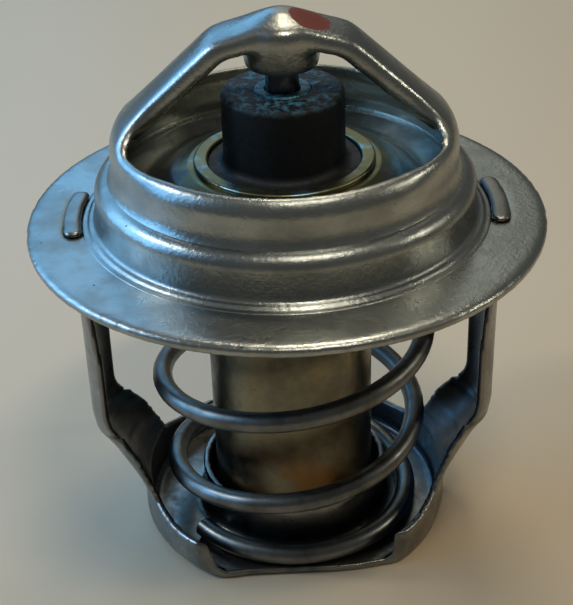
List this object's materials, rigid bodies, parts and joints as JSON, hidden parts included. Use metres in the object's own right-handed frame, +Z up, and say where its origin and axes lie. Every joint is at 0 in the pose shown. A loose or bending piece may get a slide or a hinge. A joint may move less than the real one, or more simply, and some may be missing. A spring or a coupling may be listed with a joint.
{
  "type": "engine thermostat",
  "caption": "Wax-element engine thermostat: flanged housing with a pierced bridge, sprung valve plate on a brass capsule, and a channel-legged spring frame.",
  "frame": {"origin": "centre of the base's underside, on the surface that the part stands on", "axes": "+Z up along the piston, +X towards one leg, -Y towards the viewer's side with a window between the legs"},
  "size_m": [0.054, 0.054, 0.0598],
  "materials": {
    "bridge_steel": "satin stainless pressing, slightly marked",
    "frame_steel": "dull pressed steel, darker inside",
    "spring_steel": "drawn spring wire, smooth",
    "piston_steel": "ground steel pin",
    "plate_steel": "pressed steel, tarnished",
    "capsule_brass": "tarnished brass",
    "boot_rubber": "black moulded rubber, dull",
    "guide_brass": "oxidised metal with a blue-grey bloom",
    "sleeve_rubber": "plain rubber, hidden",
    "wax": "copper-filled wax, hidden"
  },
  "bodies": {
    "frame": {"flange_bridge": "bridge_steel", "spring_frame": "frame_steel", "main_spring": "spring_steel", "piston": "piston_steel"},
    "valve": {"valve_plate": "plate_steel", "capsule_cup": "capsule_brass", "rubber_boot": "boot_rubber", "guide_body": "guide_brass", "squeeze_sleeve": "sleeve_rubber", "wax_charge": "wax"}
  },
  "joints": [
    {"name": "valve_lift", "type": "slide", "parent": "frame", "child": "valve", "axis": [0, 0, -1], "range_m": [0, 0.008], "stiffness_N_per_m": 5000, "springref_m": -0.012, "deforming": ["main_spring"]}
  ]
}
